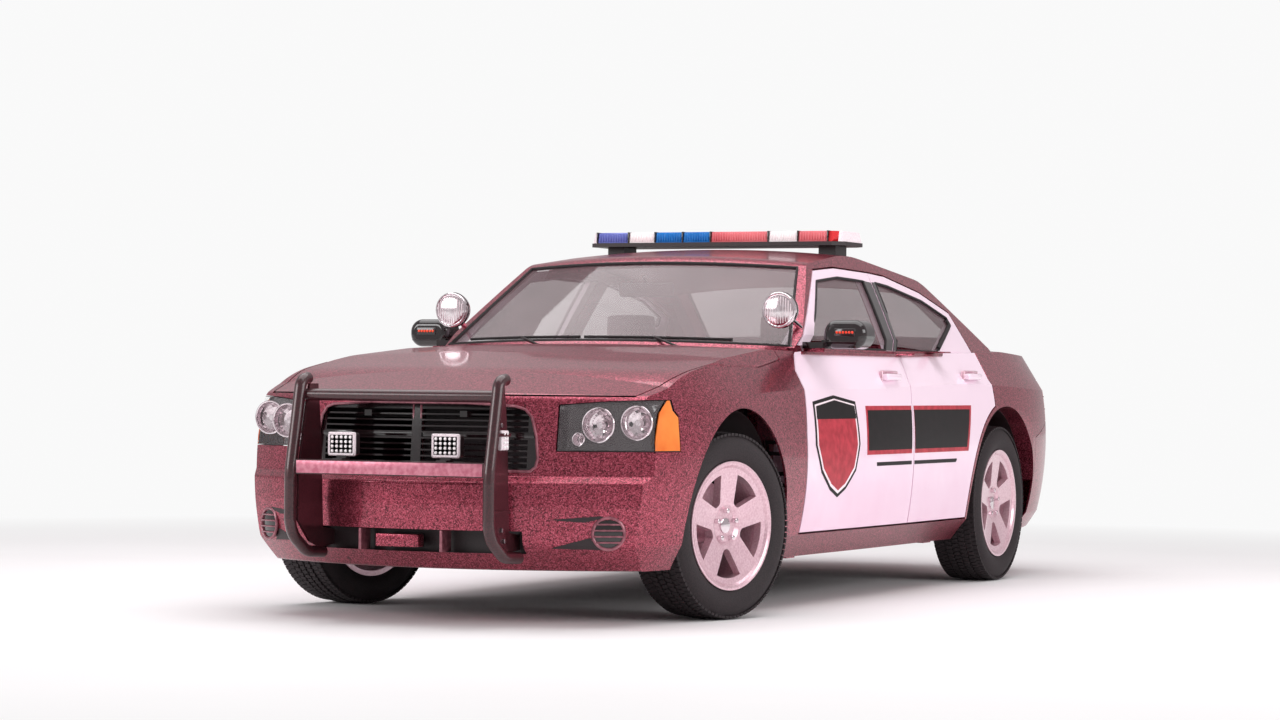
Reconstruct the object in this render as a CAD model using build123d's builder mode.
from build123d import *
from math import cos, radians, sin
import os

os.makedirs("parts", exist_ok=True)

# Patrol car in millimetres: nose towards -Y, car's left +X, up +Z, origin on the ground.
# Running gear
FRONT_AXLE_Y = -1475
WHEELBASE = 3048
REAR_AXLE_Y = FRONT_AXLE_Y + WHEELBASE
TRACK = 1600
TYRE_R = 358
TYRE_HALF_W = 115
BEAD_R = 228
RIM_LIP_R = 246
RIM_HALF_W = 104
ARCH_R = 448
STEER_REST = 14.4
KINGPIN_X = 700
SPINDLE_R = 20
SPINDLE_GAP = 0.1
KINGPIN_R = 8
KINGPIN_GAP = 0.1
DISC_R = 168
DISC_THICK = 28
DISC_H = -40

# Shell
SKIN = 9
GLASS_OUT = 6
GLASS_IN = 11
SEAT_GAP = 0.3
DOOR_INNER_X = 775
FRAME_DEPTH = 34
RING_INNER_X = 730
RING_DEPTH = 60
FLOOR_Z = 205
FLOOR_THICK = 28
PANEL_GAP = 8
FORM_X = 940
GREEN_X = 800
BELT_Z = 1040
FIREWALL_Y = -1000
SILL_TOP_Z = 300
LID_BOTTOM_Z = 745

# Body profile down the car: centre y, centre z, side y, side z, corner radius
BODY_PROFILE = [
    (-2330, 205, -1960, 205, 30),
    (-2440, 300, -2080, 300, 60),
    (-2455, 440, -2095, 440, 80),
    (-2453, 528, -2093, 528, 15),
    (-2415, 556, -2062, 556, 15),
    (-2392, 850, -2038, 838, 45),
    (-1950, 950, -1850, 925, 1000),
    (-1450, 1020, -1450, 990, 1200),
    (-1000, 1056, -1000, 1026, 900),
    (500, 1060, 500, 1020, 900),
    (1850, 1092, 1850, 1050, 900),
    (2560, 1082, 2400, 1020, 30),
    (2585, 800, 2400, 780, 60),
    (2625, 640, 2420, 640, 60),
    (2580, 330, 2360, 330, 80),
    (2420, 225, 2300, 225, 60),
    (1800, 205, 1800, 205, 300),
]
# Body sections across the car: y, bottom x, sill x, z, widest x, z, shoulder x, z, top x, z
BODY_SECTIONS = [
    (-2470, 500, 560, 300, 610, 520, 600, 760, 560, 960),
    (-2200, 720, 785, 300, 815, 540, 800, 780, 720, 960),
    (-1900, 790, 868, 300, 905, 560, 890, 810, 800, 980),
    (-1475, 800, 893, 300, 935, 600, 912, 850, 800, 1030),
    (-300, 800, 903, 300, 928, 620, 895, 880, 812, 1045),
    (700, 800, 905, 300, 930, 640, 902, 900, 812, 1050),
    (1573, 800, 902, 300, 945, 660, 922, 900, 800, 1070),
    (2250, 770, 855, 300, 900, 640, 880, 880, 760, 1065),
    (2640, 640, 700, 300, 750, 640, 735, 880, 640, 1060),
]
# Greenhouse profile: centre y, centre z, side y, side z, corner radius
ROOF_PROFILE = [
    (-985, 1010, -745, 1010, 20),
    (-290, 1437, -143, 1390, 160),
    (330, 1495, 330, 1448, 1500),
    (1250, 1405, 1150, 1357, 400),
    (1950, 1085, 1800, 1060, 60),
    (1950, 960, 1800, 960, 20),
    (-985, 960, -745, 960, 20),
]
# Tumblehome of the side glass: y, half width at the belt, half width at the roof rail
ROOF_SECTIONS = [(-1100, 815, 640), (300, 818, 648), (2000, 775, 590)]
RAIL_Z = 1380
ROOF_CROWN = 14

# Door outlines in side view: y, z
FRONT_DOOR = [(-846, 308), (-829, 700), (-775, 950), (-665, 1047), (-150, 1378), (100, 1396),
              (500, 1388), (430, 1040), (372, 824), (341, 308)]
REAR_DOOR_FRONT = [(341, 308), (372, 824), (430, 1040), (500, 1388)]
REAR_DOOR_TOP = [(700, 1379), (1090, 1318), (1395, 1232), (1478, 1052), (1420, 930), (1428, 826)]
FRONT_WINDOW = [(-545, 1050), (-175, 1333), (90, 1356), (395, 1350), (345, 1050)]
REAR_WINDOW = [(478, 1050), (545, 1347), (690, 1336), (1075, 1280), (1325, 1210), (1335, 1175), (985, 1050)]
DOOR_ARCH_R = ARCH_R + 26

# Hinges of the doors: the barrels stand ahead of each door's front edge, close under the skin
HINGE_LEAD = 75
HINGE_DEPTH = 20
BARREL_R = 6.5
PIN_R = 3.5
PIN_GAP = 0.1
HINGE_HALF = 30
KNUCKLE_HALF = 15
DOOR_HINGE_Z = (520, 645)

FRONT_HINGE = (906, -913)
REAR_HINGE = (911, 280)

# Hood and trunk lid: outlines, and the hinge axes close under the skin
HOOD_SIDE = [(640, -2700), (772, -2110), (815, -1850), (836, -1475), (834, -1150), (812, -880)]
HOOD_REAR_Y = -985
HOOD_UNDER = [(-2700, 400), (-900, 400), (-900, 900), (-1800, 880), (-2000, 852), (-2700, 852)]
COWL_GAP = 14
HOOD_HINGE_X = 690
HOOD_HINGE_Y = -820
HOOD_HINGE_Z = 1012
LID_HALF_W = 690
LID_FRONT_Y = 1958
LID_GAP = 10
LID_HINGE_X = 560
LID_HINGE_Y = 1828
LID_HINGE_Z = 1052

# Seams of the bumpers and fenders
BUMPER_SEAM_Y = -2030
BUMPER_LOW_Z = 530
ARCH_FRONT_Y = -1850
DOOR_FRONT_LIMIT = -640
REAR_SEAM_Y = 2010
BUMPER_REAR_TOP = 733
TAIL_LAMP_TOP = 930

# Cabin and trunk
REAR_WALL_Y = 1255
COWL_WALL_Y = -790
SHELF_END_Y = 1800
TRUNK_FLOOR_Z = 420
WELL_WALL_X = 600
WALL = 12
DOOR_LAP = 34
JACK_X = 773
TUNNEL_LENGTH = 1642
JACK_FRONT_Y = -700
JACK_REAR_Y = 900

# The fender's place on the shell, in side view
FENDER_PLACE = [(-1100, 300), (-842, 300), (-825, 700), (-771, 950), (-700, 1010), (-655, 1046),
                (-1100, 1046)]
# Relief in the front door's inner face, so that it opens past the foot of the windshield pillar
DOOR_RELIEF = (-802, 802, -1200, -590, 980, 1058)
# How far the inner rim of a door's rear edge stands back, and the two spaces it is cut in
RIM_STEP = 16
RIM_SPACE = (700, 862, -1200, 1600, 150, 940)
RIM_SPACE_TOP = (700, 815, -1200, 1600, 930, 1003)
SUPPORT_Y = -2095
SUPPORT_REAR_Y = -2055

# Front frame bars, left side: x, x, y, y, z, z
FRAME_BARS = [
    (380, 450, -2330, FIREWALL_Y, 430, 520),
    (385, 415, -2300, SUPPORT_REAR_Y, 285, 335),
    (655, 715, SUPPORT_Y, FIREWALL_Y, 770, 820),
    (445, 462, -1930, -1040, 500, 800),
    (455, 660, -1930, -1040, 790, 800),
    (455, 715, -1930, -1918, 400, 800),
    (600, 715, SUPPORT_Y, SUPPORT_REAR_Y, 330, 820),
    (380, 450, SUPPORT_Y, SUPPORT_REAR_Y, 335, 440),
]
SPOKES = 5
SPOKE_TURN = 36
PIN_LOW_Z = 249
PIN_HIGH_Z = 424
PIN_DEPTH = 44
HEADLAMP_OUTLINE = [(527, 645), (530, 817), (700, 832), (852, 838), (915, 690), (899, 645)]
LAMP_BACK = 1985
LAMP_REACH = 800
LAMP_DEPTH = 75
LAMP_ARM_Y = -2185
GRILLE_HALF = [(440, 574), (458, 590), (464, 620), (456, 700), (438, 768), (414, 796), (380, 807), (200, 817)]
GRILLE_LOW_Z = 579
GRILLE_PITCH = 22
GRILLE_ROWS = 10

# Push bumper: side path of the bent tubes, its bend radii, and the plate beside each
PUSH_X = 412
PUSH_TUBE_R = 22
PUSH_PATH = [(-2480, 905), (-2530, 900), (-2600, 560), (-2600, 340), (-2480, 262), (-2360, 256)]
PUSH_BENDS = [40, 300, 110, 110]
PUSH_PLATE = [(-2510, 885), (-2450, 885), (-2425, 700), (-2415, 520), (-2405, 350), (-2300, 335),
              (-2300, 285), (-2420, 275), (-2500, 300), (-2585, 380), (-2585, 560)]
PUSH_TOP = (-2513, 844)

# Light bar, spotlights and mirrors
BAR_OUTLINE = [(-565, 302), (565, 302), (610, 345), (610, 555), (565, 598), (-565, 598), (-610, 555),
               (-610, 345)]
BAR_BASE_Z = 1505
BAR_LENS_Z = 1522
BAR_TOP_Z = 1568
SPOT_CENTRE = (750, -700, 1199)
SPOT_FOOT = (775, -560, 1130)
SPOT_R = 72
MIRROR_Y = 550
MIRROR_X0 = 866
MIRROR_X1 = 1052
MIRROR_H = 118

# Cabin: side views of seats and dashboard
SEAT_X = 370
HAND_WHEEL_R = 185
FRONT_SEAT = [(-330, 340), (-345, 440), (-300, 480), (110, 462), (190, 1030), (215, 1060), (285, 1060),
              (300, 1020), (250, 480), (200, 340)]
REAR_SEAT = [(690, 234), (1005, 234), (1098, 362), (1254.7, 362), (1254.7, 985), (1190, 985), (1110, 480),
             (690, 500), (665, 460)]
DASH = [(-860, 872), (-789.7, 872), (-789.7, 1000), (-600, 985), (-545, 930), (-560, 800), (-640, 660),
        (-860, 640)]


def body_profile(inset):
    """Lengthwise form of the lower body, lofted across the car."""
    with BuildPart() as form:
        for x, side in ((-FORM_X, 1), (0, 0), (FORM_X, 1)):
            with BuildSketch(Plane.YZ.offset(x)):
                with BuildLine():
                    FilletPolyline(*[(r[2 * side], r[2 * side + 1]) for r in BODY_PROFILE],
                                   radius=[r[4] for r in BODY_PROFILE], close=True)
                make_face()
                if inset:
                    offset(amount=-inset, kind=Kind.INTERSECTION)
        loft()
    return form.part


def body_sections(inset):
    """Crosswise form of the lower body, lofted down the car."""
    with BuildPart() as form:
        for y, bottom, sill, sill_z, wide, wide_z, shoulder, shoulder_z, top, top_z in BODY_SECTIONS:
            with BuildSketch(Plane.XZ.offset(-y)):
                with BuildLine():
                    for hand in (1, -1):
                        foot = (hand * (bottom - inset), 180)
                        low = (hand * (sill - inset), sill_z)
                        mid = (hand * (wide - inset), wide_z)
                        high = (hand * (shoulder - inset), shoulder_z)
                        belt = (hand * (top - inset), top_z)
                        crown = (hand * (top - 260 - inset), top_z + 260)
                        Line(foot, low)
                        ThreePointArc(low, mid, high)
                        Line(high, belt)
                        Line(belt, crown)
                    Line((bottom - inset, 180), (inset - bottom, 180))
                    Line((top - 260 - inset, top_z + 260), (260 + inset - top, top_z + 260))
                make_face()
        loft()
    return form.part


def lower_form(inset):
    with BuildPart() as form:
        add(body_profile(inset))
        add(body_sections(inset), mode=Mode.INTERSECT)
    return form.part


def roof_form(inset):
    """Greenhouse, drawn in by inset on every side but its foot."""
    with BuildPart() as lengthwise:
        for x, side in ((-GREEN_X, 1), (0, 0), (GREEN_X, 1)):
            with BuildSketch(Plane.YZ.offset(x)):
                with BuildLine():
                    FilletPolyline(*[(r[2 * side], r[2 * side + 1]) for r in ROOF_PROFILE],
                                   radius=[r[4] for r in ROOF_PROFILE], close=True)
                make_face()
                if inset:
                    offset(amount=-inset, kind=Kind.INTERSECTION)
        loft()
    with BuildPart() as crosswise:
        for y, belt, rail in ROOF_SECTIONS:
            slope = (belt - rail) / (RAIL_Z - BELT_Z)
            foot = belt + slope * 100 - inset
            head = rail - slope * 170 - inset
            waist = (foot + head) / 2 + ROOF_CROWN
            with BuildSketch(Plane.XZ.offset(-y)):
                with BuildLine():
                    ThreePointArc((foot, BELT_Z - 100), (waist, 1245), (head, RAIL_Z + 170))
                    Line((head, RAIL_Z + 170), (-head, RAIL_Z + 170))
                    ThreePointArc((-head, RAIL_Z + 170), (-waist, 1245), (-foot, BELT_Z - 100))
                    Line((-foot, BELT_Z - 100), (foot, BELT_Z - 100))
                make_face()
        loft()
    with BuildPart() as form:
        add(lengthwise.part)
        add(crosswise.part, mode=Mode.INTERSECT)
    return form.part


def side_prism(points, grow=0, x_from=500, x_to=1100):
    """Side-view outline as a prism through the car's left side."""
    with BuildPart() as prism:
        with BuildSketch(Plane.YZ.offset(x_from)):
            with BuildLine():
                Polyline(*points, close=True)
            make_face()
            if grow:
                offset(amount=grow, kind=Kind.INTERSECTION)
        extrude(amount=x_to - x_from)
    return prism.part


def rear_door_prism(grow=0, x_from=500, x_to=1100):
    """Rear door outline: its lower rear edge runs round the wheel arch."""
    start_y = REAR_AXLE_Y - (DOOR_ARCH_R ** 2 - (TYRE_R - 308) ** 2) ** 0.5
    end_y = REAR_DOOR_TOP[-1][0]
    end_z = TYRE_R + (DOOR_ARCH_R ** 2 - (REAR_AXLE_Y - end_y) ** 2) ** 0.5
    with BuildPart() as prism:
        with BuildSketch(Plane.YZ.offset(x_from)):
            with BuildLine():
                rows = [(y + PANEL_GAP, z) for y, z in REAR_DOOR_FRONT] + REAR_DOOR_TOP[:-1]
                Polyline(*rows, (end_y, end_z))
                RadiusArc((end_y, end_z), (start_y, 308), -DOOR_ARCH_R)
                Line((start_y, 308), rows[0])
            make_face()
            if grow:
                offset(amount=grow, kind=Kind.INTERSECTION)
        extrude(amount=x_to - x_from)
    return prism.part


def block(x0, x1, y0, y1, z0, z1):
    """Rectangular space between two corners."""
    with BuildPart() as space:
        with BuildSketch(Plane.XY.offset(z0)):
            with Locations(((x0 + x1) / 2, (y0 + y1) / 2)):
                Rectangle(x1 - x0, y1 - y0)
        extrude(amount=z1 - z0)
    return space.part


def round_post(centre, axis, radius, length):
    """Plain cylinder from centre along axis."""
    with BuildPart() as post:
        with BuildSketch(Plane(origin=centre, z_dir=axis)):
            Circle(radius)
        extrude(amount=length)
    return post.part


def largest(part):
    """The biggest solid of a part: crumbs that a cut leaves are dropped."""
    return part.solids().sort_by(SortBy.VOLUME)[-1]


def rear_rim(prism):
    """Inner rim of a door's rear edge, which swings rearward before it is out of the opening."""
    with BuildPart() as rim:
        add(block(*RIM_SPACE))
        add(block(*RIM_SPACE_TOP))
        add(prism, mode=Mode.INTERSECT)
        add(prism.moved(Location((0, -RIM_STEP, 0))), mode=Mode.SUBTRACT)
    return rim.part


def both_hands(part):
    """A left-hand tool together with its mirror image."""
    with BuildPart() as pair:
        add(part)
        mirror(about=Plane.YZ)
    return pair.part


lower = lower_form(0)
lower_in = lower_form(SKIN)
roof_outer = roof_form(0)
roof_glass_out = roof_form(GLASS_OUT)
roof_glass_in = roof_form(GLASS_IN)
roof_frame = roof_form(FRAME_DEPTH)
roof_seat = roof_form(FRAME_DEPTH + SEAT_GAP)
roof_ring = roof_form(RING_DEPTH)
with BuildPart() as outer_clear:
    add(lower_form(-SEAT_GAP))
    add(roof_form(-SEAT_GAP))

with BuildPart() as outer:
    add(lower)
    add(roof_outer)

with BuildPart() as skin:
    add(lower)
    add(lower_in, mode=Mode.SUBTRACT)

with BuildPart() as glass_layer:
    add(roof_glass_out)
    add(roof_glass_in, mode=Mode.SUBTRACT)
    add(block(-1000, 1000, -1200, 2200, 900, BELT_Z + 5), mode=Mode.SUBTRACT)

# Where the doors end inwards, and the same with their seat clearance
with BuildPart() as door_inside:
    add(roof_frame)
    add(block(-DOOR_INNER_X, DOOR_INNER_X, -1200, 1600, 150, 1000))
    add(block(*DOOR_RELIEF))
with BuildPart() as door_seat:
    add(roof_seat)
    add(block(SEAT_GAP - DOOR_INNER_X, DOOR_INNER_X - SEAT_GAP, -1200, 1600, 150, 1000))


def hood_outline(grow, low, high):
    """Plan outline of the hood as a prism: rear edge bowed round the cowl."""
    with BuildPart() as prism:
        with BuildSketch(Plane.XY.offset(low)):
            with BuildLine():
                Polyline(*[(-x, y) for x, y in reversed(HOOD_SIDE)], *HOOD_SIDE)
                ThreePointArc((HOOD_SIDE[-1][0], HOOD_SIDE[-1][1]), (0, HOOD_REAR_Y),
                              (-HOOD_SIDE[-1][0], HOOD_SIDE[-1][1]))
            make_face()
            if grow:
                offset(amount=grow, kind=Kind.INTERSECTION)
        extrude(amount=high - low)
    return prism.part


def side_band(points, x_from=-1000, x_to=1000):
    """Side-view polygon carried right across the car."""
    with BuildPart() as band:
        with BuildSketch(Plane.YZ.offset(x_from)):
            Polygon(*points, align=None)
        extrude(amount=x_to - x_from)
    return band.part


def hinge_barrel(centre, axis, low, high, radius=BARREL_R):
    """Barrel or pin from low to high along its axis."""
    with BuildPart() as barrel:
        with BuildSketch(Plane(origin=centre, z_dir=axis).offset(low)):
            Circle(radius)
        extrude(amount=high - low)
    return barrel.part


def fixed_door_leaf(axis_x, axis_y, base_dy):
    """Pillar half of a door hinge: base plate, two knuckles and the pin."""
    with BuildPart() as leaf:
        for z in DOOR_HINGE_Z:
            for low, high in ((-HINGE_HALF, -KNUCKLE_HALF - 0.5), (KNUCKLE_HALF + 0.5, HINGE_HALF)):
                with BuildSketch(Plane.XY.offset(z + low)):
                    with BuildLine():
                        Line((axis_x, axis_y), (DOOR_INNER_X + 4, axis_y + base_dy))
                    trace(line_width=8)
                    with Locations((axis_x, axis_y)):
                        Circle(BARREL_R)
                extrude(amount=high - low)
            add(block(DOOR_INNER_X - SEAT_GAP, DOOR_INNER_X + 8, axis_y + base_dy - 15,
                      axis_y + base_dy + 15, z - HINGE_HALF, z + HINGE_HALF))
            add(hinge_barrel((axis_x, axis_y, z), (0, 0, 1), -HINGE_HALF, HINGE_HALF, PIN_R))
    return leaf.part


def moving_door_leaf(axis_x, axis_y, reach):
    """Door half: a goose neck that passes inside the panel ahead of it."""
    with BuildPart() as leaf:
        for z in DOOR_HINGE_Z:
            with BuildSketch(Plane.XY.offset(z - KNUCKLE_HALF)):
                with BuildLine():
                    Polyline((axis_x, axis_y), (axis_x - 30, axis_y - 14), (axis_x - 75, axis_y - 14),
                             (axis_x - 75, axis_y + reach))
                trace(line_width=8)
                with Locations((axis_x, axis_y)):
                    Circle(BARREL_R)
                    Circle(PIN_R + PIN_GAP, mode=Mode.SUBTRACT)
            extrude(amount=2 * KNUCKLE_HALF)
    return leaf.part


# Doors, modelled on the left and mirrored: each whole from skin to inner face, with its window cut
front_prism = side_prism(FRONT_DOOR)
rear_prism = rear_door_prism()
with BuildPart() as door_front_left:
    add(outer.part)
    add(front_prism, mode=Mode.INTERSECT)
    add(door_inside.part, mode=Mode.SUBTRACT)
    add(rear_rim(front_prism), mode=Mode.SUBTRACT)
    add(side_prism(FRONT_WINDOW), mode=Mode.SUBTRACT)
    for z in DOOR_HINGE_Z:
        add(block(700, REAR_HINGE[0] + BARREL_R + 2, REAR_HINGE[1] - 34, 500, z - HINGE_HALF - 6,
                  z + HINGE_HALF + 6), mode=Mode.SUBTRACT)
    add(moving_door_leaf(*FRONT_HINGE, 110))
with BuildPart() as door_rear_left:
    add(outer.part)
    add(rear_prism, mode=Mode.INTERSECT)
    add(door_inside.part, mode=Mode.SUBTRACT)
    add(rear_rim(rear_prism), mode=Mode.SUBTRACT)
    add(side_prism(REAR_WINDOW), mode=Mode.SUBTRACT)
    add(moving_door_leaf(*REAR_HINGE, 105))
with BuildPart() as glass_front_left:
    add(glass_layer.part)
    add(side_prism(FRONT_WINDOW, -SEAT_GAP), mode=Mode.INTERSECT)
with BuildPart() as glass_rear_left:
    add(glass_layer.part)
    add(side_prism(REAR_WINDOW, -SEAT_GAP), mode=Mode.INTERSECT)

left_doors = {"door_front": door_front_left, "door_rear": door_rear_left,
              "door_glass_front": glass_front_left, "door_glass_rear": glass_rear_left}
for name, left in left_doors.items():
    with BuildPart() as right:
        add(left.part)
        mirror(about=Plane.YZ, mode=Mode.REPLACE)
    left.part.label = name + "_left"
    right.part.label = name + "_right"
    for piece in (left, right):
        export_step(piece.part, "parts/" + piece.part.label + ".step")

# Fixed halves of the door hinges, on the pillars
with BuildPart() as door_hinges:
    add(fixed_door_leaf(*FRONT_HINGE, 0))
    add(fixed_door_leaf(*REAR_HINGE, 50))
    mirror(about=Plane.YZ)
door_hinges.part.label = "door_hinges"
export_step(door_hinges.part, "parts/door_hinges.step")

# Hood: skin over the engine bay, with an arm to each hinge at the cowl
with BuildPart() as hood_arms:
    for x in (-HOOD_HINGE_X, HOOD_HINGE_X):
        add(block(x - 14, x + 14, HOOD_HINGE_Y - 140, HOOD_HINGE_Y, HOOD_HINGE_Z - 5, HOOD_HINGE_Z + 5))
        add(block(x - 14, x + 14, HOOD_HINGE_Y - 140, HOOD_HINGE_Y - 90, HOOD_HINGE_Z - 5, HOOD_HINGE_Z + 90))
        add(hinge_barrel((x, HOOD_HINGE_Y, HOOD_HINGE_Z), (1, 0, 0), -14, 14))
    add(lower, mode=Mode.INTERSECT)
    for x in (-HOOD_HINGE_X, HOOD_HINGE_X):
        add(hinge_barrel((x, HOOD_HINGE_Y, HOOD_HINGE_Z), (1, 0, 0), -15, 15, PIN_R + PIN_GAP),
            mode=Mode.SUBTRACT)
with BuildPart() as hood:
    add(skin.part)
    add(hood_outline(0, 800, 1300), mode=Mode.INTERSECT)
    add(side_band(HOOD_UNDER), mode=Mode.SUBTRACT)
    add(hood_arms.part)
hood.part.label = "hood"
export_step(hood.part, "parts/hood.step")

# Trunk lid: deck and rear face in one, on two goose necks
with BuildPart() as lid_arms:
    for x in (-LID_HINGE_X, LID_HINGE_X):
        with BuildSketch(Plane.YZ.offset(x - 6)):
            with BuildLine():
                Polyline((LID_HINGE_Y, LID_HINGE_Z), (LID_HINGE_Y + 40, LID_HINGE_Z - 129),
                         (LID_HINGE_Y + 160, LID_HINGE_Z - 129), (LID_HINGE_Y + 160, LID_HINGE_Z + 60))
            trace(line_width=11)
            with Locations((LID_HINGE_Y, LID_HINGE_Z)):
                Circle(BARREL_R)
        extrude(amount=12)
    add(lower, mode=Mode.INTERSECT)
    for x in (-LID_HINGE_X, LID_HINGE_X):
        add(hinge_barrel((x, LID_HINGE_Y, LID_HINGE_Z), (1, 0, 0), -8, 8, PIN_R + PIN_GAP),
            mode=Mode.SUBTRACT)
with BuildPart() as trunk_lid:
    add(skin.part)
    add(block(-LID_HALF_W, LID_HALF_W, LID_FRONT_Y, 2800, LID_BOTTOM_Z, 1300), mode=Mode.INTERSECT)
    add(lid_arms.part)
trunk_lid.part.label = "trunk_lid"
export_step(trunk_lid.part, "parts/trunk_lid.step")

# Front end panels
front_zone = [(-2700, 100), (ARCH_FRONT_Y, 100), (ARCH_FRONT_Y, BUMPER_LOW_Z),
              (BUMPER_SEAM_Y, BUMPER_LOW_Z), (BUMPER_SEAM_Y, 1000), (-2700, 1000)]
arch_cut = round_post((-1200, FRONT_AXLE_Y, TYRE_R), (1, 0, 0), ARCH_R, 2400)
rear_arch_cut = round_post((-1200, REAR_AXLE_Y, TYRE_R), (1, 0, 0), ARCH_R, 2400)
with BuildPart() as lamp_hole:
    with BuildSketch(Plane.XZ.offset(LAMP_BACK)):
        Polygon(*HEADLAMP_OUTLINE, align=None)
    extrude(amount=LAMP_REACH)
    mirror(about=Plane.YZ)
with BuildPart() as grille_hole:
    with BuildSketch(Plane.XZ.offset(2200)):
        Polygon(*GRILLE_HALF, *[(-x, z) for x, z in reversed(GRILLE_HALF)], align=None)
    extrude(amount=400)
with BuildPart() as front_beam:
    add(block(-560, 560, -2600, -2330, 430, 520))
    add(lower, mode=Mode.INTERSECT)
with BuildPart() as front_bumper:
    add(skin.part)
    add(side_band(front_zone), mode=Mode.INTERSECT)
    add(hood_outline(6, 846, 1300), mode=Mode.SUBTRACT)
    add(arch_cut, mode=Mode.SUBTRACT)
    add(lamp_hole.part, mode=Mode.SUBTRACT)
    add(grille_hole.part, mode=Mode.SUBTRACT)
    add(block(-430, 430, -2700, -2200, 270, 354), mode=Mode.SUBTRACT)
    add(front_beam.part)
front_bumper.part.label = "front_bumper"
export_step(front_bumper.part, "parts/front_bumper.step")

# Fenders: skin over the front wheels, with an inner flange that lies on the upper rail
with BuildPart() as fender_flanges:
    add(block(846, 856, -1840, FIREWALL_Y - 6, 820, 1100))
    add(block(690, 856, -1840, FIREWALL_Y - 6, 820, 828))
    add(lower, mode=Mode.INTERSECT)
    mirror(about=Plane.YZ)
with BuildPart() as fenders:
    add(skin.part)
    add(block(-1000, 1000, -2400, DOOR_FRONT_LIMIT, SILL_TOP_Z, 1100), mode=Mode.INTERSECT)
    add(hood_outline(6, 500, 1300), mode=Mode.SUBTRACT)
    add(side_band(front_zone), mode=Mode.SUBTRACT)
    add(arch_cut, mode=Mode.SUBTRACT)
    add(both_hands(side_prism(FRONT_DOOR, PANEL_GAP)), mode=Mode.SUBTRACT)
    add(block(-600, 600, -2500, 0, 0, 1300), mode=Mode.SUBTRACT)
    add(block(-DOOR_INNER_X, DOOR_INNER_X, FIREWALL_Y, 0, 0, 1300), mode=Mode.SUBTRACT)
    add(lamp_hole.part, mode=Mode.SUBTRACT)
    add(fender_flanges.part)
fenders.part.label = "fenders"
export_step(fenders.part, "parts/fenders.step")

# Body shell: sills, pillars, roof, quarters, cowl and wheelhouses, modelled on the left and mirrored
with BuildPart() as trunk_space:
    add(block(-1, 900, REAR_WALL_Y + 245, 2700, TRUNK_FLOOR_Z, 1200))
    add(block(-1, RING_INNER_X, REAR_WALL_Y + 13, REAR_WALL_Y + 250, TRUNK_FLOOR_Z, 1000))
    add(round_post((WELL_WALL_X - WALL, REAR_AXLE_Y, TYRE_R), (1, 0, 0), ARCH_R + WALL, 500),
        mode=Mode.SUBTRACT)
    add(block(-1, WELL_WALL_X - WALL, REAR_WALL_Y, 2480, 100, 1000))
    add(block(-1, 1000, REAR_WALL_Y - 10, SHELF_END_Y, 1000, 1300), mode=Mode.SUBTRACT)
    add(lower_in, mode=Mode.INTERSECT)
with BuildPart() as cabin_space:
    add(roof_ring)
    add(block(-RING_INNER_X, RING_INNER_X, -1200, REAR_WALL_Y, 100, 1030))
    add(block(-1000, 1000, -1200, COWL_WALL_Y, 880, 1300), mode=Mode.SUBTRACT)
    add(block(-1000, 1000, SHELF_END_Y - 10, 2400, 900, 1300), mode=Mode.SUBTRACT)
    add(both_hands(round_post((WELL_WALL_X - WALL, REAR_AXLE_Y, TYRE_R), (1, 0, 0), ARCH_R + WALL, 500)),
        mode=Mode.SUBTRACT)
with BuildPart() as plenum:
    add(block(-1, 735, -1100, COWL_WALL_Y - WALL, 890, 1200))
    add(lower_in, mode=Mode.INTERSECT)
with BuildPart() as glass_openings:
    with BuildSketch(Plane.XZ.offset(60)):
        with BuildLine():
            Polyline((790, 1050), (628, 1390))
            ThreePointArc((628, 1390), (0, 1410), (-628, 1390))
            Line((-628, 1390), (-790, 1050))
            ThreePointArc((-790, 1050), (0, 1068), (790, 1050))
        make_face()
    extrude(amount=1100)
    with BuildSketch(Plane.XZ.offset(-2150)):
        with BuildLine():
            Polyline((650, 1112), (560, 1345))
            ThreePointArc((560, 1345), (0, 1372), (-560, 1345))
            Line((-560, 1345), (-650, 1112))
            ThreePointArc((-650, 1112), (0, 1124), (650, 1112))
        make_face()
    extrude(amount=950)
rear_zone = [(REAR_SEAM_Y, 50), (REAR_SEAM_Y, 660), (2330, BUMPER_REAR_TOP), (2800, BUMPER_REAR_TOP),
             (2800, 50)]
lamp_space = block(LID_HALF_W + LID_GAP, 1000, 2320, 2800, BUMPER_REAR_TOP, TAIL_LAMP_TOP)

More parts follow.
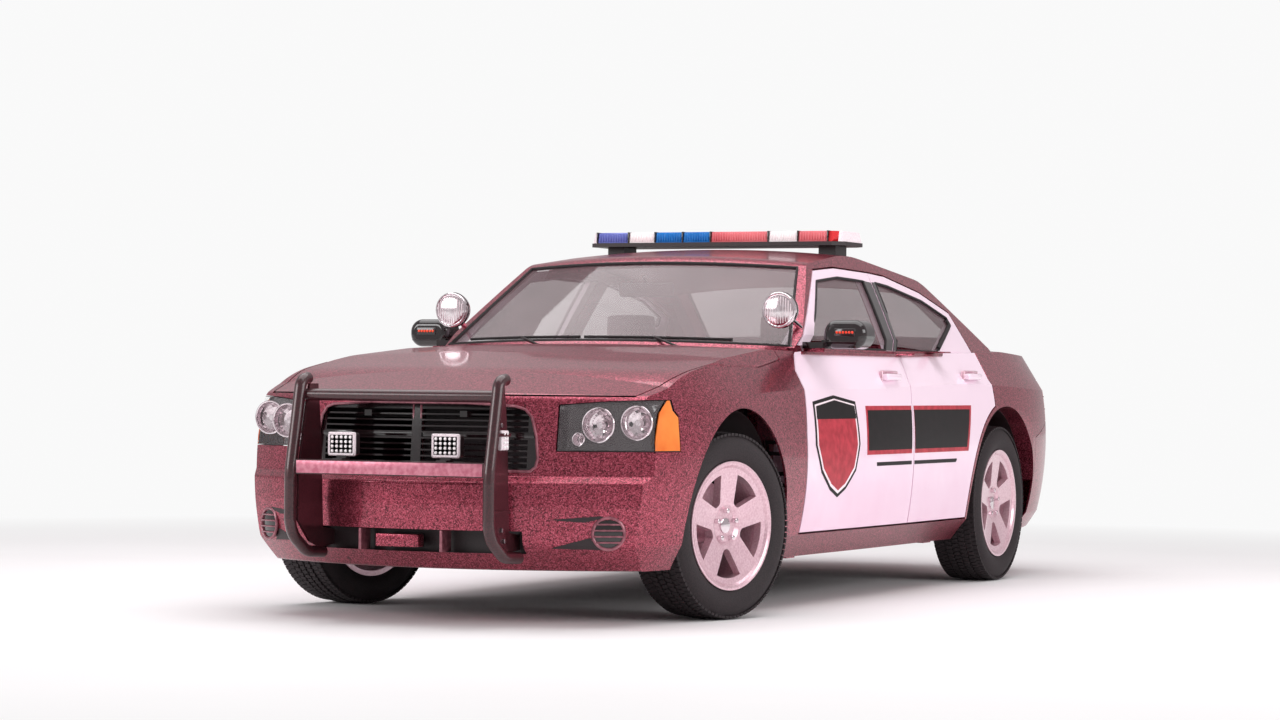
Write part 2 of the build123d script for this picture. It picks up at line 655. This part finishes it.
with BuildPart() as door_cut:
    add(side_prism(FRONT_DOOR, PANEL_GAP))
    add(rear_door_prism(PANEL_GAP))
    add(door_seat.part, mode=Mode.SUBTRACT)
with BuildPart() as half_shell:
    add(outer.part)
    add(block(0, 1000, -1045, 2700, 0, 1600), mode=Mode.INTERSECT)
    add(block(-1, 1001, -1100, FIREWALL_Y, SILL_TOP_Z, 1300), mode=Mode.SUBTRACT)
    add(side_prism(FENDER_PLACE, 0, DOOR_INNER_X - SEAT_GAP, 1001), mode=Mode.SUBTRACT)
    add(cabin_space.part, mode=Mode.SUBTRACT)
    add(plenum.part, mode=Mode.SUBTRACT)
    add(hood_outline(COWL_GAP, 890, 1300), mode=Mode.SUBTRACT)
    add(block(HOOD_HINGE_X - 24, HOOD_HINGE_X + 24, -900, HOOD_HINGE_Y + 12, 985, 1100), mode=Mode.SUBTRACT)
    add(door_cut.part, mode=Mode.SUBTRACT)
    add(side_prism(FRONT_DOOR, -DOOR_LAP), mode=Mode.SUBTRACT)
    add(rear_door_prism(-DOOR_LAP), mode=Mode.SUBTRACT)
    add(glass_openings.part, mode=Mode.SUBTRACT)
    add(trunk_space.part, mode=Mode.SUBTRACT)
    add(block(-1, LID_HALF_W + LID_GAP, LID_FRONT_Y - LID_GAP, 2800, 600, 1300), mode=Mode.SUBTRACT)
    add(round_post((WELL_WALL_X, REAR_AXLE_Y, TYRE_R), (1, 0, 0), ARCH_R, 500), mode=Mode.SUBTRACT)
    add(side_band(rear_zone), mode=Mode.SUBTRACT)
    add(lamp_space, mode=Mode.SUBTRACT)
    add(block(WELL_WALL_X - 20, WELL_WALL_X + WALL, 1140, REAR_SEAM_Y, 0, 322), mode=Mode.SUBTRACT)

# Brackets and pins that carry the hood and the trunk lid
with BuildPart() as lid_brackets:
    for x in (-LID_HINGE_X, LID_HINGE_X):
        for low, high in ((-16, -7), (7, 16)):
            add(block(x + low, x + high, LID_HINGE_Y - 15, LID_HINGE_Y + 15, LID_HINGE_Z - 12,
                      LID_HINGE_Z + 40))
        add(hinge_barrel((x, LID_HINGE_Y, LID_HINGE_Z), (1, 0, 0), -16, 16, PIN_R))
    add(lower, mode=Mode.INTERSECT)
with BuildPart() as hood_brackets:
    for x in (-HOOD_HINGE_X, HOOD_HINGE_X):
        for low, high in ((-22, -14.5), (14.5, 22)):
            add(block(x + low, x + high, HOOD_HINGE_Y - 12, COWL_WALL_Y - 2, HOOD_HINGE_Z - 14,
                      HOOD_HINGE_Z + 12))
        add(hinge_barrel((x, HOOD_HINGE_Y, HOOD_HINGE_Z), (1, 0, 0), -22, 22, PIN_R))

with BuildPart() as body_shell:
    add(largest(half_shell.part))
    mirror(about=Plane.YZ)
    add(lid_brackets.part)
    add(hood_brackets.part)
    for hand in (1, -1):
        for y in (JACK_FRONT_Y, JACK_REAR_Y):
            add(block(hand * JACK_X - 25, hand * JACK_X + 25, y - 45, y + 45, FLOOR_Z - 8, FLOOR_Z + 8))
body_shell.part.label = "body_shell"
export_step(body_shell.part, "parts/body_shell.step")

with BuildPart() as windshield:
    add(glass_layer.part)
    add(glass_openings.part, mode=Mode.INTERSECT)
    add(block(-1000, 1000, 400, 3000, 0, 2000), mode=Mode.SUBTRACT)
with BuildPart() as rear_window:
    add(glass_layer.part)
    add(glass_openings.part, mode=Mode.INTERSECT)
    add(block(-1000, 1000, -3000, 400, 0, 2000), mode=Mode.SUBTRACT)
for glass, name in ((windshield, "windshield"), (rear_window, "rear_window")):
    glass.part.label = name
    export_step(glass.part, "parts/" + name + ".step")

# Floor pan: firewall, floor with tunnel, seat step and trunk floor
with BuildPart() as floor_pan:
    with BuildSketch(Plane.YZ.offset(-RING_INNER_X + SEAT_GAP)):
        Polygon((FIREWALL_Y, 880), (FIREWALL_Y, 380), (-860, FLOOR_Z), (1040, FLOOR_Z), (1130, 330),
                (REAR_WALL_Y, 330), (REAR_WALL_Y, 358), (1112, 358), (1022, FLOOR_Z + FLOOR_THICK),
                (-848, FLOOR_Z + FLOOR_THICK), (FIREWALL_Y + 26, 390), (FIREWALL_Y + 26, 880), align=None)
    extrude(amount=2 * (RING_INNER_X - SEAT_GAP))
    with BuildSketch(Plane.XZ.offset(-FIREWALL_Y - 26)):
        Polygon((-130, 220), (130, 220), (95, 330), (-95, 330), align=None)
    extrude(amount=-TUNNEL_LENGTH)
    add(block(-WELL_WALL_X + WALL + SEAT_GAP, WELL_WALL_X - WALL - SEAT_GAP, REAR_WALL_Y, 2472, 330,
              TRUNK_FLOOR_Z - 62))
    add(block(-560, 560, 2468, 2480, 330, 700))
    add(both_hands(round_post((WELL_WALL_X - WALL - SEAT_GAP, REAR_AXLE_Y, TYRE_R), (1, 0, 0),
                              ARCH_R + WALL + SEAT_GAP, 500)), mode=Mode.SUBTRACT)
floor_pan.part.label = "floor_pan"
export_step(floor_pan.part, "parts/floor_pan.step")

# Front frame: rails, aprons with the upper rails, and the radiator support
with BuildPart() as front_frame:
    for hand in (1, -1):
        for x0, x1, y0, y1, z0, z1 in FRAME_BARS:
            add(block(min(hand * x0, hand * x1), max(hand * x0, hand * x1), y0, y1, z0, z1))
    add(block(-640, 640, SUPPORT_Y, SUPPORT_REAR_Y, 330, 380))
    add(block(-640, 640, SUPPORT_Y, SUPPORT_REAR_Y, 760, 800))
front_frame.part.label = "front_frame"
export_step(front_frame.part, "parts/front_frame.step")

with BuildPart() as engine_block:
    add(block(-290, 290, -1860, -1120, 300, 720))
    with BuildSketch(Plane.XZ.offset(1120)):
        Polygon((-290, 720), (290, 720), (220, 860), (-220, 860), align=None)
    extrude(amount=740)
engine_block.part.label = "engine_block"
export_step(engine_block.part, "parts/engine_block.step")


def wheel_plane(hand, axle_y, turn):
    """Plane at a wheel's centre whose normal points outwards, turned about its kingpin."""
    offset_x = TRACK / 2 - KINGPIN_X
    out = Vector(hand * cos(radians(turn)), -hand * sin(radians(turn)) * 1, 0)
    if turn:
        kingpin = Vector(hand * KINGPIN_X, axle_y, TYRE_R)
        centre = kingpin + out * offset_x
    else:
        centre = Vector(hand * TRACK / 2, axle_y, TYRE_R)
    return Plane(origin=centre, x_dir=(0, 0, 1), z_dir=out)


def tyre_part(hub):
    """Hollow tyre: sidewalls bulge between the bead and the tread."""
    profile = Plane(origin=hub.origin, x_dir=(0, 0, 1), z_dir=Vector(0, 0, 1).cross(hub.z_dir))
    with BuildPart() as tyre:
        with BuildSketch(profile):
            with BuildLine():
                Line((BEAD_R, 96), (BEAD_R + 20, 97.5))
                ThreePointArc((BEAD_R + 20, 97.5), (295, TYRE_HALF_W), (TYRE_R - 18, 98))
                ThreePointArc((TYRE_R - 18, 98), (TYRE_R - 6, 92), (TYRE_R, 78))
                Line((TYRE_R, 78), (TYRE_R, -78))
                ThreePointArc((TYRE_R, -78), (TYRE_R - 6, -92), (TYRE_R - 18, -98))
                ThreePointArc((TYRE_R - 18, -98), (295, -TYRE_HALF_W), (BEAD_R + 20, -97.5))
                Line((BEAD_R + 20, -97.5), (BEAD_R, -96))
                Line((BEAD_R, -96), (BEAD_R, -80))
                Line((BEAD_R, -80), (BEAD_R + 24, -84))
                ThreePointArc((BEAD_R + 24, -84), (290, -100), (TYRE_R - 18, -82))
                Line((TYRE_R - 18, -82), (TYRE_R - 18, 82))
                ThreePointArc((TYRE_R - 18, 82), (290, 100), (BEAD_R + 24, 84))
                Line((BEAD_R + 24, 84), (BEAD_R, 80))
                Line((BEAD_R, 80), (BEAD_R, 96))
            make_face()
        revolve(axis=Axis(hub.origin, hub.z_dir))
    return tyre.part


with BuildSketch() as spoke_window:
    with BuildLine():
        Line((96, 18), (186, 72))
        ThreePointArc((186, 72), (200, 0), (186, -72))
        Line((186, -72), (96, -18))
        ThreePointArc((96, -18), (90, 0), (96, 18))
    make_face()


def wheel_part(hub):
    """Cast wheel of five broad spokes, with the brake disc and its bell on the hub."""
    window = spoke_window.sketch
    profile = Plane(origin=hub.origin, x_dir=(0, 0, 1), z_dir=Vector(0, 0, 1).cross(hub.z_dir))
    axis = Axis(hub.origin, hub.z_dir)
    with BuildPart() as wheel:
        with BuildSketch(profile):
            with BuildLine():
                Polyline((BEAD_R, 80), (BEAD_R, 96), (RIM_LIP_R, 98), (RIM_LIP_R, 104), (238, 104),
                         (230, 100), (218, 88), (206, 40), (206, -84), (226, -104), (RIM_LIP_R, -104),
                         (RIM_LIP_R, -98), (BEAD_R, -96), (BEAD_R, -80), (214, -60), (214, 40),
                         (BEAD_R, 80))
            make_face()
            with BuildLine():
                Polyline((SPINDLE_R + SPINDLE_GAP, 66), (62, 66), (78, 76), (224, 92), (214, 60),
                         (80, 40), (70, 20), (SPINDLE_R + SPINDLE_GAP, 20), (SPINDLE_R + SPINDLE_GAP, 66))
            make_face()
        revolve(axis=axis)
        with BuildSketch(hub.offset(10)):
            with PolarLocations(0, SPOKES, start_angle=SPOKE_TURN):
                add(window)
        extrude(amount=120, mode=Mode.SUBTRACT)
        with BuildSketch(profile):
            with BuildLine():
                Polyline((SPINDLE_R + SPINDLE_GAP, 30), (70, 30), (70, DISC_H), (DISC_R, DISC_H),
                         (DISC_R, DISC_H - DISC_THICK), (60, DISC_H - DISC_THICK), (60, 22),
                         (SPINDLE_R + SPINDLE_GAP, 22), (SPINDLE_R + SPINDLE_GAP, 30))
            make_face()
        revolve(axis=axis)
    return wheel.part


def carrier_part(hub, hand, steered):
    """Hub carrier: post, spindle and, behind the axle, a caliper that straddles the disc."""
    post_h = KINGPIN_X - TRACK / 2
    back = -hand
    with BuildPart() as carrier:
        with BuildSketch(Plane(origin=hub.origin, x_dir=(0, 0, 1), z_dir=hub.z_dir).offset(post_h - 25)):
            Rectangle(216, 50)
        extrude(amount=50)
        with BuildSketch(hub.offset(post_h)):
            Circle(SPINDLE_R)
        extrude(amount=60 - post_h)
        with BuildSketch(hub.offset(post_h - 10)):
            Polygon((-20, 0), (-20, back * 180), (55, back * 180), (55, back * 120), (20, 0), align=None)
        extrude(amount=12)
        with BuildSketch(hub.offset(post_h - 5)):
            with Locations((15, back * 160)):
                Rectangle(100, 56)
        extrude(amount=DISC_H + 24 - post_h + 5)
        with BuildSketch(hub.offset(DISC_H - DISC_THICK - 6)):
            Circle(DISC_R + 6)
            Circle(40, mode=Mode.SUBTRACT)
        extrude(amount=DISC_THICK + 12, mode=Mode.SUBTRACT)
        if steered:
            for low in (PIN_LOW_Z, PIN_HIGH_Z):
                with BuildSketch(Plane.XY.offset(low)):
                    with Locations((hand * KINGPIN_X, FRONT_AXLE_Y)):
                        Circle(KINGPIN_R + KINGPIN_GAP)
                extrude(amount=PIN_DEPTH, mode=Mode.SUBTRACT)
    return carrier.part


for end, axle_y, turn in (("front", FRONT_AXLE_Y, STEER_REST), ("rear", REAR_AXLE_Y, 0)):
    for side, hand in (("left", 1), ("right", -1)):
        hub = wheel_plane(hand, axle_y, turn)
        with BuildPart() as tyre:
            add(tyre_part(hub))
        with BuildPart() as wheel:
            add(wheel_part(hub))
        tyre.part.label = "tyre_" + end + "_" + side
        wheel.part.label = "wheel_" + end + "_" + side
        for piece in (tyre, wheel):
            export_step(piece.part, "parts/" + piece.part.label + ".step")
        if end == "front":
            with BuildPart() as knuckle:
                add(carrier_part(hub, hand, True))
            knuckle.part.label = "knuckle_" + side
            export_step(knuckle.part, "parts/" + knuckle.part.label + ".step")

# Front axle: crossmember, arms with the kingpins, and struts
with BuildPart() as front_axle:
    add(block(-450, 450, FRONT_AXLE_Y - 65, FRONT_AXLE_Y + 65, 240, 300))
    for hand in (1, -1):
        for x0, x1, y0, y1, z0, z1 in ((380, 450, -65, 65, 300, 430), (430, 450, -85, 85, 214, 300)):
            add(block(min(hand * x0, hand * x1), max(hand * x0, hand * x1), FRONT_AXLE_Y + y0,
                      FRONT_AXLE_Y + y1, z0, z1))
        for low, high, width in ((214, 238, 85), (474, 492, 40)):
            with BuildSketch(Plane.XY.offset(low)):
                Polygon(*[(hand * x, FRONT_AXLE_Y + y) for x, y in
                          ((450, width), (640, 26), (722, 20), (722, -20), (640, -26), (450, -width))],
                        align=None)
            extrude(amount=high - low)
        pin_x = hand * KINGPIN_X
        add(round_post((pin_x, FRONT_AXLE_Y, 230), (0, 0, 1), KINGPIN_R, PIN_LOW_Z + PIN_DEPTH - 234))
        add(round_post((pin_x, FRONT_AXLE_Y, PIN_HIGH_Z + 4), (0, 0, 1), KINGPIN_R, 480 - PIN_HIGH_Z))
        add(round_post((hand * 560, FRONT_AXLE_Y, 230), (0, 0, 1), 22, 790 - 230))
        add(round_post((hand * 560, FRONT_AXLE_Y, 640), (0, 0, 1), 55, 12))
front_axle.part.label = "front_axle"
export_step(front_axle.part, "parts/front_axle.step")

# Rear axle: subframe, differential, arms and the hub carriers
with BuildPart() as rear_axle:
    add(block(-450, 450, REAR_AXLE_Y - 80, REAR_AXLE_Y + 80, 250, 330))
    add(block(-110, 110, REAR_AXLE_Y - 150, REAR_AXLE_Y + 150, 235, 328))
    for side, hand in (("left", 1), ("right", -1)):
        add(block(min(hand * 440, hand * 690), max(hand * 440, hand * 690), REAR_AXLE_Y - 35,
                  REAR_AXLE_Y + 35, 262, 300))
        add(carrier_part(wheel_plane(hand, REAR_AXLE_Y, 0), hand, False))
rear_axle.part.label = "rear_axle"
export_step(rear_axle.part, "parts/rear_axle.step")

# Rear bumper cover, on a beam that meets the trunk's rear wall
with BuildPart() as rear_beam:
    add(block(-560, 560, 2480, 2700, 430, 520))
    add(lower, mode=Mode.INTERSECT)
with BuildPart() as rear_bumper:
    add(skin.part)
    add(side_band([(REAR_SEAM_Y + 3, 50), (REAR_SEAM_Y + 3, 657), (2330, BUMPER_REAR_TOP - 3),
                   (2800, BUMPER_REAR_TOP - 3), (2800, 50)]), mode=Mode.INTERSECT)
    add(rear_arch_cut, mode=Mode.SUBTRACT)
    add(both_hands(block(420, 520, 2300, 2800, 100, 304)), mode=Mode.SUBTRACT)
    add(rear_beam.part)
rear_bumper.part.label = "rear_bumper"
export_step(rear_bumper.part, "parts/rear_bumper.step")

# Lamps: solid units flush with the skin
with BuildPart() as headlamps:
    with BuildSketch(Plane.XZ.offset(LAMP_BACK + 3)):
        Polygon(*HEADLAMP_OUTLINE, align=None)
        offset(amount=-3, kind=Kind.INTERSECTION)
    extrude(amount=LAMP_REACH)
    mirror(about=Plane.YZ)
    add(lower, mode=Mode.INTERSECT)
    add(lower.moved(Location((0, LAMP_DEPTH, 0))), mode=Mode.SUBTRACT)
    for hand in (1, -1):
        add(block(hand * 660 - 12, hand * 660 + 12, LAMP_ARM_Y, SUPPORT_Y, 700, 720))
headlamps.part.label = "headlamps"
export_step(headlamps.part, "parts/headlamps.step")

with BuildPart() as tail_lamps:
    add(block(LID_HALF_W + LID_GAP + 3, 1000, 2320 + SEAT_GAP, 2800, BUMPER_REAR_TOP + 3, TAIL_LAMP_TOP - 3))
    mirror(about=Plane.YZ)
    add(lower, mode=Mode.INTERSECT)
    add(lower.moved(Location((0, -60, 0))), mode=Mode.SUBTRACT)
tail_lamps.part.label = "tail_lamps"
export_step(tail_lamps.part, "parts/tail_lamps.step")

# Grille: slats behind a rim, split by an upright bar and a cross bar
with BuildPart() as grille:
    with BuildSketch(Plane.XZ.offset(2200)):
        Polygon(*GRILLE_HALF, *[(-x, z) for x, z in reversed(GRILLE_HALF)], align=None)
        offset(amount=8, kind=Kind.INTERSECTION)
    extrude(amount=400)
    add(lower.moved(Location((0, 12, 0))), mode=Mode.INTERSECT)
    add(lower.moved(Location((0, 42, 0))), mode=Mode.SUBTRACT)
    for row in range(GRILLE_ROWS):
        z = GRILLE_LOW_Z + row * GRILLE_PITCH
        for x0, x1 in ((-425, -20), (20, 425)):
            add(block(x0, x1, -2700, -2100, z + 3, z + GRILLE_PITCH - 3), mode=Mode.SUBTRACT)
    for x in (-200, 200):
        add(block(x - 15, x + 15, -2400, SUPPORT_Y, 768, 790))
grille.part.label = "grille"
export_step(grille.part, "parts/grille.step")

# Push bumper: two bent uprights with plates, a round top tube and a flat lower bar
with BuildPart() as push_bumper:
    for x in (-PUSH_X, PUSH_X):
        with BuildLine(Plane.YZ.offset(x)) as path:
            FilletPolyline(*PUSH_PATH, radius=PUSH_BENDS)
        with BuildSketch(Plane(origin=path.line @ 0, z_dir=path.line % 0)):
            Circle(PUSH_TUBE_R)
        sweep(path=path.line)
        inner = x * (PUSH_X - 22) / PUSH_X
        with BuildSketch(Plane.YZ.offset(inner - 5)):
            Polygon(*PUSH_PLATE, align=None)
        extrude(amount=10)
        add(block(min(x, inner) - 5, max(x, inner) + 5, -2560, -2440, 700, 712))
        add(block(min(x, inner) - 5, max(x, inner) + 5, -2590, -2440, 420, 432))
    with BuildSketch(Plane.YZ.offset(-PUSH_X)):
        with Locations((PUSH_TOP[0], PUSH_TOP[1])):
            Circle(PUSH_TUBE_R)
    extrude(amount=2 * PUSH_X)
    add(block(-PUSH_X, PUSH_X, -2602, -2572, 552, 606))
push_bumper.part.label = "push_bumper"
export_step(push_bumper.part, "parts/push_bumper.step")

with BuildPart() as push_lights:
    for x in (-216, 216):
        with BuildSketch(Plane.XZ.offset(2530)):
            with Locations((x, 664)):
                RectangleRounded(112, 84, 12)
        extrude(amount=38)
        add(block(x - 20, x + 20, -2568, -2540, 606, 640))
        add(block(x - 20, x + 20, -2600, -2540, 606, 612))
push_lights.part.label = "push_lights"
export_step(push_lights.part, "parts/push_lights.step")

# Light bar: base on two feet over the roof, and the run of lenses on it
with BuildPart() as light_bar_base:
    with BuildSketch(Plane.XY.offset(BAR_BASE_Z)):
        Polygon(*BAR_OUTLINE, align=None)
    extrude(amount=BAR_LENS_Z - BAR_BASE_Z)
    for hand in (1, -1):
        add(block(hand * 510 - 40, hand * 510 + 40, 385, 515, 1380, BAR_BASE_Z))
    add(outer_clear.part, mode=Mode.SUBTRACT)
with BuildPart() as light_bar_lenses:
    with BuildSketch(Plane.XY.offset(BAR_LENS_Z)):
        Polygon(*BAR_OUTLINE, align=None)
        offset(amount=-4, kind=Kind.INTERSECTION)
    extrude(amount=BAR_TOP_Z - BAR_LENS_Z, taper=12)
for piece, name in ((light_bar_base, "light_bar_base"), (light_bar_lenses, "light_bar_lenses")):
    piece.part.label = name
    export_step(piece.part, "parts/" + name + ".step")

# Spotlights: chromed heads ahead of the windshield pillars, on short arms
with BuildPart() as spotlights:
    for hand in (1, -1):
        centre = Vector(hand * SPOT_CENTRE[0], SPOT_CENTRE[1], SPOT_CENTRE[2])
        foot = Vector(hand * SPOT_FOOT[0], SPOT_FOOT[1], SPOT_FOOT[2])
        with BuildSketch(Plane(origin=centre, x_dir=(1, 0, 0), z_dir=(0, 0, 1))):
            with BuildLine():
                Line((0, -30), (SPOT_R - 8, -30))
                Line((SPOT_R - 8, -30), (SPOT_R, -24))
                Line((SPOT_R, -24), (SPOT_R, -6))
                ThreePointArc((SPOT_R, -6), (50, 42), (0, 62))
                Line((0, 62), (0, -30))
            make_face()
        revolve(axis=Axis(centre, (0, 1, 0)))
        with BuildSketch(Plane(origin=centre, z_dir=foot - centre)):
            Circle(11)
        extrude(amount=(foot - centre).length)
    add(outer_clear.part, mode=Mode.SUBTRACT)
spotlights.part.label = "spotlights"
export_step(spotlights.part, "parts/spotlights.step")

# Door mirrors: housings on feet at the front corners of the door windows
with BuildPart() as mirror_left:
    with BuildSketch(Plane.XZ.offset(MIRROR_Y)):
        with Locations(((MIRROR_X0 + MIRROR_X1) / 2, 1104)):
            RectangleRounded(MIRROR_X1 - MIRROR_X0, MIRROR_H, 54)
    extrude(amount=-115)
    fillet(mirror_left.edges().group_by(Axis.Y)[0], 28)
    add(block(795, 890, -598, -540, 1046, 1072))
    add(block(868, 890, -560, -470, 1046, 1080))
    add(outer_clear.part, mode=Mode.SUBTRACT)
with BuildPart() as mirror_right:
    add(mirror_left.part)
    mirror(about=Plane.YZ, mode=Mode.REPLACE)
for piece, name in ((mirror_left, "mirror_left"), (mirror_right, "mirror_right")):
    piece.part.label = name
    export_step(piece.part, "parts/" + name + ".step")

# Seats, dashboard, steering wheel
with BuildPart() as front_seats:
    for x in (-SEAT_X, SEAT_X):
        with BuildSketch(Plane.YZ.offset(x - 250)):
            Polygon(*FRONT_SEAT, align=None)
        extrude(amount=500)
        add(block(x - 200, x + 200, -270, 130, FLOOR_Z + FLOOR_THICK, 345))
        add(block(x - 110, x + 110, 215, 290, 1075, 1200))
        add(block(x - 40, x + 40, 235, 265, 1040, 1080))
with BuildPart() as rear_seat:
    with BuildSketch(Plane.YZ.offset(-575)):
        Polygon(*REAR_SEAT, align=None)
    extrude(amount=1150)
with BuildPart() as dashboard:
    with BuildSketch(Plane.YZ.offset(SEAT_GAP - RING_INNER_X)):
        Polygon(*DASH, align=None)
    extrude(amount=2 * (RING_INNER_X - SEAT_GAP))
wheel_tilt = Plane(origin=(SEAT_X, -455, 880), x_dir=(1, 0, 0), z_dir=(0, 0.88, 0.475))
with BuildPart() as steering_wheel:
    with BuildSketch(Plane(origin=wheel_tilt.origin, x_dir=(1, 0, 0), z_dir=wheel_tilt.y_dir)):
        with Locations((HAND_WHEEL_R, 0)):
            Circle(14)
    revolve(axis=Axis(wheel_tilt.origin, wheel_tilt.z_dir))
    with BuildSketch(wheel_tilt.offset(-12)):
        Circle(60)
        with Locations((0, 0)):
            Rectangle(2 * HAND_WHEEL_R, 30)
        with Locations((0, -HAND_WHEEL_R / 2)):
            Rectangle(40, HAND_WHEEL_R)
    extrude(amount=24)
    with BuildSketch(wheel_tilt.offset(-200)):
        Circle(28)
    extrude(amount=200)
    add(dashboard.part, mode=Mode.SUBTRACT)
with BuildPart() as exhaust:
    for hand in (1, -1):
        add(block(hand * 450 - 110, hand * 450 + 110, 2060, 2330, 242, 320))
        add(block(hand * 450 - 20, hand * 450 + 20, 2150, 2190, 320, 330))
        for radius, mode in ((36, Mode.ADD), (32, Mode.SUBTRACT)):
            add(round_post((hand * 470, 2330, 262), (0, 1, 0), radius, 190), mode=mode)
    add(block(-345, 345, 2170, 2210, 262, 302))
cabin_pieces = {"front_seats": front_seats, "rear_seat": rear_seat, "dashboard": dashboard,
                "steering_wheel": steering_wheel, "exhaust": exhaust}
for name, piece in cabin_pieces.items():
    piece.part.label = name
    export_step(piece.part, "parts/" + name + ".step")
